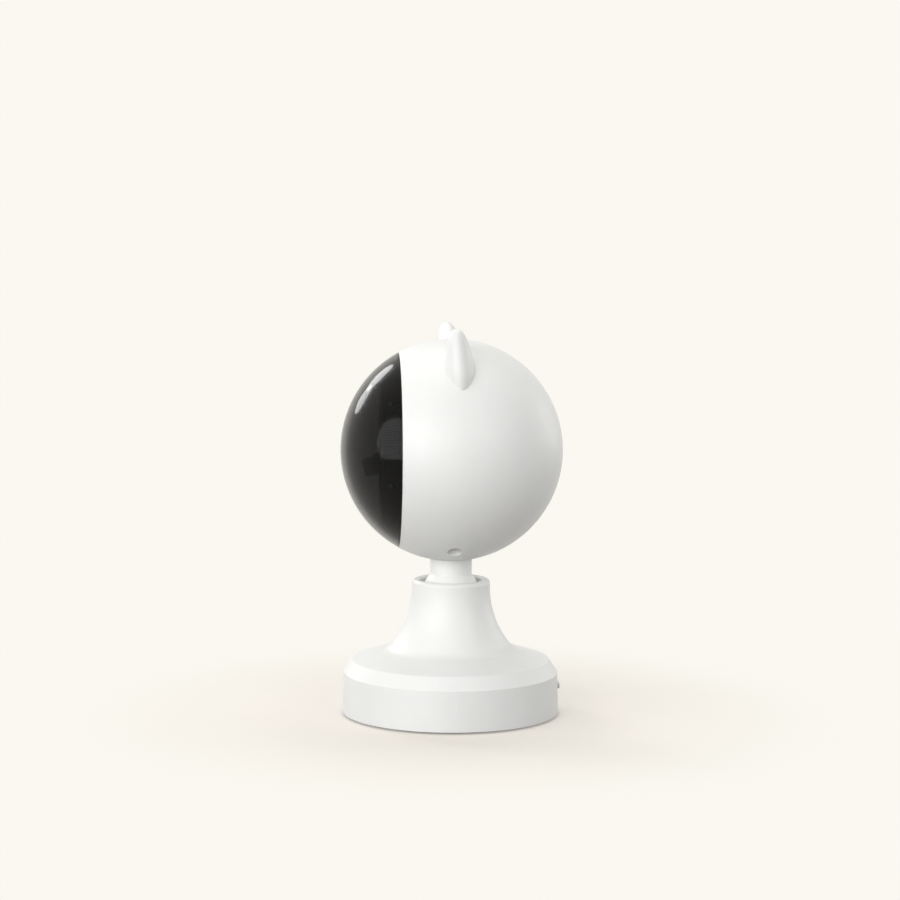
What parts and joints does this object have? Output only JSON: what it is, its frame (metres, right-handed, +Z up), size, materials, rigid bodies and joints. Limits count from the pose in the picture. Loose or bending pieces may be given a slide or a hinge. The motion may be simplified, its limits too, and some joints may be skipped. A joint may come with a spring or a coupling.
{
  "type": "automatic cat laser toy",
  "caption": "Free-standing cat laser toy: a ball-shaped head with cat ears and a smoked dome over a turning laser, on a weighted bell-shaped base.",
  "frame": {"origin": "on the floor, under the middle of the base", "axes": "+Z up, the face with the dome looks along -Y, +X is the toy's left"},
  "size_m": [0.08, 0.08, 0.1406],
  "materials": {
    "white_gloss": "smooth white, softly glossy",
    "white_satin": "fine satin texture, white",
    "smoked": "polished, dark smoked, see-through",
    "black_satin": "black, fine satin texture",
    "grey_frame": "dark grey moulded",
    "acetal": "waxy natural white",
    "foot_rubber": "matt dark grey",
    "steel_zinc": "zinc-plated",
    "steel_ballast": "blackened, turned",
    "cell_wrap": "silver-blue wrap",
    "spring_strip": "bright strip",
    "board_green": "solder mask over copper tracks",
    "chip_black": "moulded black",
    "port_steel": "nickel-plated",
    "key_grey": "light grey satin",
    "felt_grey": "dense friction rubber",
    "gear_white": "waxy natural white",
    "motor_steel": "drawn can, plated",
    "laser_black": "black anodised",
    "lens_clear": "clear, domed"
  },
  "bodies": {
    "base": {"base_shell": "white_gloss", "neck_bell": "white_gloss", "bottom_plate": "white_satin", "foot_ring": "foot_rubber", "base_screws": "steel_zinc", "ballast_disc": "steel_ballast", "battery": "cell_wrap", "battery_strap": "spring_strip", "strap_screws": "steel_zinc", "charging_board": "board_green", "charging_board_screws": "steel_zinc", "usb_shell": "port_steel", "usb_tongue": "chip_black", "push_switch": "chip_black", "swivel_retainer": "acetal", "retainer_screws": "steel_zinc", "friction_ring": "felt_grey"},
    "button": {"power_button": "key_grey", "switch_plunger": "chip_black"},
    "swivel": {"swivel_cup": "acetal", "ball_seat": "felt_grey", "pivot_pins": "steel_zinc"},
    "head": {"neck_ball": "white_gloss", "neck_flange": "acetal", "neck_screws": "steel_zinc", "head_shell": "white_gloss", "head_screws": "steel_zinc", "left_ear": "white_satin", "right_ear": "white_satin", "ear_screws": "steel_zinc", "dome": "smoked", "ribbed_ring": "black_satin", "mask": "black_satin", "ring_screws": "steel_zinc", "mask_screws": "steel_zinc", "chassis": "grey_frame", "pan_motor": "motor_steel", "pan_motor_screws": "steel_zinc", "head_board": "board_green", "head_board_screws": "steel_zinc", "head_board_chips": "chip_black"},
    "pan_pinion_body": {"pan_pinion": "gear_white", "pan_motor_shaft": "steel_zinc"},
    "yoke_body": {"yoke": "grey_frame", "pan_gear": "gear_white", "yoke_retainer": "steel_zinc", "tilt_motor": "motor_steel", "tilt_motor_screws": "steel_zinc"},
    "tilt_pinion_body": {"tilt_pinion": "gear_white", "tilt_motor_shaft": "steel_zinc"},
    "laser": {"laser_carrier": "grey_frame", "tilt_gear": "gear_white", "laser_module": "laser_black", "laser_lens": "lens_clear"}
  },
  "joints": [
    {"name": "power_button_press", "type": "slide", "parent": "base", "child": "button", "axis": [0, -1, 0], "range_m": [0, 0.0004], "stiffness_N_per_m": 500, "springref_m": -0.0005},
    {"name": "head_pan", "type": "hinge", "parent": "base", "child": "swivel", "pos_m": [0, 0, 0.04389], "axis": [0, 0, 1], "range_deg": [-165, 165]},
    {"name": "head_nod", "type": "hinge", "parent": "swivel", "child": "head", "pos_m": [0, 0, 0.04389], "axis": [1, 0, 0], "range_deg": [-25, 25]},
    {"name": "laser_pan", "type": "hinge", "parent": "head", "child": "yoke_body", "pos_m": [0, -0.0056, 0.09579], "axis": [0, 0, 1], "range_deg": [-30, 30]},
    {"name": "pan_pinion_spin", "type": "hinge", "parent": "head", "child": "pan_pinion_body", "pos_m": [0, 0.0069, 0.09579], "axis": [0, 0, 1], "range_deg": [-120, 120]},
    {"name": "laser_tilt", "type": "hinge", "parent": "yoke_body", "child": "laser", "pos_m": [0, -0.0056, 0.09579], "axis": [1, 0, 0], "range_deg": [-14, 16]},
    {"name": "tilt_pinion_spin", "type": "hinge", "parent": "yoke_body", "child": "tilt_pinion_body", "pos_m": [0, -0.0056, 0.10629], "axis": [1, 0, 0], "range_deg": [-52, 46]}
  ],
  "couplings": [
    {"joint": "pan_pinion_spin", "follows": "laser_pan", "ratio": -4},
    {"joint": "tilt_pinion_spin", "follows": "laser_tilt", "ratio": -3.2}
  ]
}
